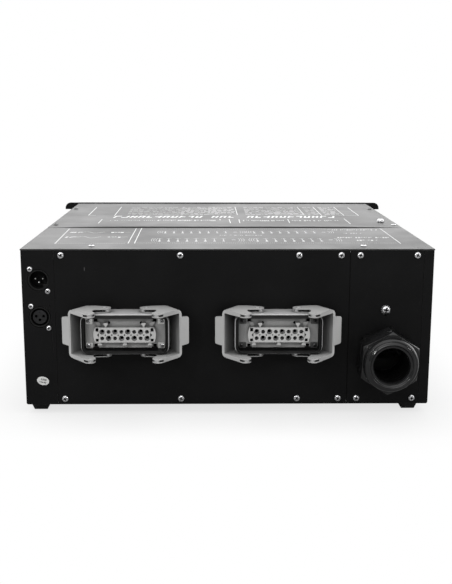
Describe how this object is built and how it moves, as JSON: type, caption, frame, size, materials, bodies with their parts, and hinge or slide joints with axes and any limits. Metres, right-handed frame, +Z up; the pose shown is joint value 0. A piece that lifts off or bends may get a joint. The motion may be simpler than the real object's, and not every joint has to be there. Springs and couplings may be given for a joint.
{
  "type": "rack-mount power distribution box",
  "caption": "Black steel rack-mount power distribution box with lever-locked multipole outlets, signal connectors, a cable gland, rubber feet and breakers.",
  "frame": {"origin": "on the plane of the foot bases, midway along the overall width and depth", "axes": "+X to the right when facing the connector side, -Y out of the connector side, +Z up through the cover"},
  "size_m": [0.4826, 0.5162, 0.1873],
  "materials": {
    "black_powder_coat": "fine-textured satin powder coat",
    "grey_polymer": "fine moulded satin",
    "grey_casting": "grey painted die casting",
    "black_rubber": "matte moulded rubber",
    "zinc_steel": "bright zinc plate",
    "black_shell": "black plated shell",
    "black_nylon": "glossy moulded nylon",
    "aluminium": "mill finish extrusion",
    "circuit_board": "green solder mask",
    "display": "glossy dark window"
  },
  "bodies": {
    "enclosure": {"breaker_bank": "black_nylon", "chassis_tray": "black_powder_coat", "choke_board": "circuit_board", "control_board": "circuit_board", "display_module": "display", "earth_screw": "zinc_steel", "earth_star_washer": "zinc_steel", "fan_frame": "black_nylon", "foot_front_left": "black_rubber", "foot_front_right": "black_rubber", "foot_rear_left": "black_rubber", "foot_rear_right": "black_rubber", "front_rack_panel": "black_powder_coat", "gland_body": "black_nylon", "gland_lock_nut": "black_nylon", "gland_seal": "black_rubber", "heat_sink": "aluminium", "mains_terminal_block": "grey_polymer", "output_a_gasket": "black_rubber", "output_a_housing": "grey_casting", "output_a_insert": "grey_polymer", "output_b_gasket": "black_rubber", "output_b_housing": "grey_casting", "output_b_insert": "grey_polymer", "power_module_board": "circuit_board", "rear_bottom_rail_with_screws": "zinc_steel", "rear_panel_center": "black_powder_coat", "rear_panel_gland": "black_powder_coat", "rear_top_rail_with_screws": "zinc_steel", "side_rail_left_with_screws": "zinc_steel", "side_rail_right_with_screws": "zinc_steel", "top_cover_front": "black_powder_coat", "top_cover_rear": "black_powder_coat", "xlr_input_pin_insert": "zinc_steel", "xlr_input_shell": "black_shell", "xlr_nut_plate_with_screws": "zinc_steel", "xlr_output_shell": "black_shell", "xlr_output_socket_insert": "black_nylon"},
    "breaker_toggle_01": {"breaker_toggle_01": "black_nylon"},
    "breaker_toggle_02": {"breaker_toggle_02": "black_nylon"},
    "breaker_toggle_03": {"breaker_toggle_03": "black_nylon"},
    "breaker_toggle_04": {"breaker_toggle_04": "black_nylon"},
    "breaker_toggle_05": {"breaker_toggle_05": "black_nylon"},
    "breaker_toggle_06": {"breaker_toggle_06": "black_nylon"},
    "breaker_toggle_07": {"breaker_toggle_07": "black_nylon"},
    "breaker_toggle_08": {"breaker_toggle_08": "black_nylon"},
    "breaker_toggle_09": {"breaker_toggle_09": "black_nylon"},
    "breaker_toggle_10": {"breaker_toggle_10": "black_nylon"},
    "breaker_toggle_11": {"breaker_toggle_11": "black_nylon"},
    "breaker_toggle_12": {"breaker_toggle_12": "black_nylon"},
    "fan_rotor": {"fan_rotor": "black_nylon"},
    "gland_dome_nut": {"gland_dome_nut": "black_nylon"},
    "menu_button_1": {"menu_button_1": "grey_polymer"},
    "menu_button_2": {"menu_button_2": "grey_polymer"},
    "menu_button_3": {"menu_button_3": "grey_polymer"},
    "menu_button_4": {"menu_button_4": "grey_polymer"},
    "output_a_lever_left": {"output_a_lever_left": "grey_polymer"},
    "output_a_lever_right": {"output_a_lever_right": "grey_polymer"},
    "output_b_lever_left": {"output_b_lever_left": "grey_polymer"},
    "output_b_lever_right": {"output_b_lever_right": "grey_polymer"}
  },
  "joints": [
    {"name": "output_a_lever_left_hinge", "type": "hinge", "parent": "enclosure", "child": "output_a_lever_left", "pos_m": [-0.1307, -0.2261, 0.096], "axis": [0, 0, 1], "range_deg": [0, 32]},
    {"name": "output_a_lever_right_hinge", "type": "hinge", "parent": "enclosure", "child": "output_a_lever_right", "pos_m": [-0.0867, -0.2261, 0.096], "axis": [0, 0, -1], "range_deg": [0, 32]},
    {"name": "output_b_lever_left_hinge", "type": "hinge", "parent": "enclosure", "child": "output_b_lever_left", "pos_m": [0.031, -0.2261, 0.096], "axis": [0, 0, 1], "range_deg": [0, 32]},
    {"name": "output_b_lever_right_hinge", "type": "hinge", "parent": "enclosure", "child": "output_b_lever_right", "pos_m": [0.075, -0.2261, 0.096], "axis": [0, 0, -1], "range_deg": [0, 32]},
    {"name": "gland_dome_nut_turn", "type": "hinge", "parent": "enclosure", "child": "gland_dome_nut", "pos_m": [0.1704, -0.2116, 0.0655], "axis": [0, 1, 0], "range_deg": [-360, 0]},
    {"name": "breaker_toggle_01_hinge", "type": "hinge", "parent": "enclosure", "child": "breaker_toggle_01", "pos_m": [-0.106, 0.2425, 0.1225], "axis": [-1, 0, 0], "range_deg": [0, 48]},
    {"name": "breaker_toggle_02_hinge", "type": "hinge", "parent": "enclosure", "child": "breaker_toggle_02", "pos_m": [-0.078, 0.2425, 0.1225], "axis": [-1, 0, 0], "range_deg": [0, 48]},
    {"name": "breaker_toggle_03_hinge", "type": "hinge", "parent": "enclosure", "child": "breaker_toggle_03", "pos_m": [-0.05, 0.2425, 0.1225], "axis": [-1, 0, 0], "range_deg": [0, 48]},
    {"name": "breaker_toggle_04_hinge", "type": "hinge", "parent": "enclosure", "child": "breaker_toggle_04", "pos_m": [-0.022, 0.2425, 0.1225], "axis": [-1, 0, 0], "range_deg": [0, 48]},
    {"name": "breaker_toggle_05_hinge", "type": "hinge", "parent": "enclosure", "child": "breaker_toggle_05", "pos_m": [0.006, 0.2425, 0.1225], "axis": [-1, 0, 0], "range_deg": [0, 48]},
    {"name": "breaker_toggle_06_hinge", "type": "hinge", "parent": "enclosure", "child": "breaker_toggle_06", "pos_m": [0.034, 0.2425, 0.1225], "axis": [-1, 0, 0], "range_deg": [0, 48]},
    {"name": "breaker_toggle_07_hinge", "type": "hinge", "parent": "enclosure", "child": "breaker_toggle_07", "pos_m": [0.062, 0.2425, 0.1225], "axis": [-1, 0, 0], "range_deg": [0, 48]},
    {"name": "breaker_toggle_08_hinge", "type": "hinge", "parent": "enclosure", "child": "breaker_toggle_08", "pos_m": [0.09, 0.2425, 0.1225], "axis": [-1, 0, 0], "range_deg": [0, 48]},
    {"name": "breaker_toggle_09_hinge", "type": "hinge", "parent": "enclosure", "child": "breaker_toggle_09", "pos_m": [0.118, 0.2425, 0.1225], "axis": [-1, 0, 0], "range_deg": [0, 48]},
    {"name": "breaker_toggle_10_hinge", "type": "hinge", "parent": "enclosure", "child": "breaker_toggle_10", "pos_m": [0.146, 0.2425, 0.1225], "axis": [-1, 0, 0], "range_deg": [0, 48]},
    {"name": "breaker_toggle_11_hinge", "type": "hinge", "parent": "enclosure", "child": "breaker_toggle_11", "pos_m": [0.174, 0.2425, 0.1225], "axis": [-1, 0, 0], "range_deg": [0, 48]},
    {"name": "breaker_toggle_12_hinge", "type": "hinge", "parent": "enclosure", "child": "breaker_toggle_12", "pos_m": [0.202, 0.2425, 0.1225], "axis": [-1, 0, 0], "range_deg": [0, 48]},
    {"name": "menu_button_1_press", "type": "slide", "parent": "enclosure", "child": "menu_button_1", "axis": [0, -1, 0], "range_m": [0, 0.0015]},
    {"name": "menu_button_2_press", "type": "slide", "parent": "enclosure", "child": "menu_button_2", "axis": [0, -1, 0], "range_m": [0, 0.0015]},
    {"name": "menu_button_3_press", "type": "slide", "parent": "enclosure", "child": "menu_button_3", "axis": [0, -1, 0], "range_m": [0, 0.0015]},
    {"name": "menu_button_4_press", "type": "slide", "parent": "enclosure", "child": "menu_button_4", "axis": [0, -1, 0], "range_m": [0, 0.0015]},
    {"name": "fan_rotor_spin", "type": "hinge", "parent": "enclosure", "child": "fan_rotor", "pos_m": [-0.2152, 0.1424, 0.0725], "axis": [1, 0, 0], "continuous": true}
  ]
}
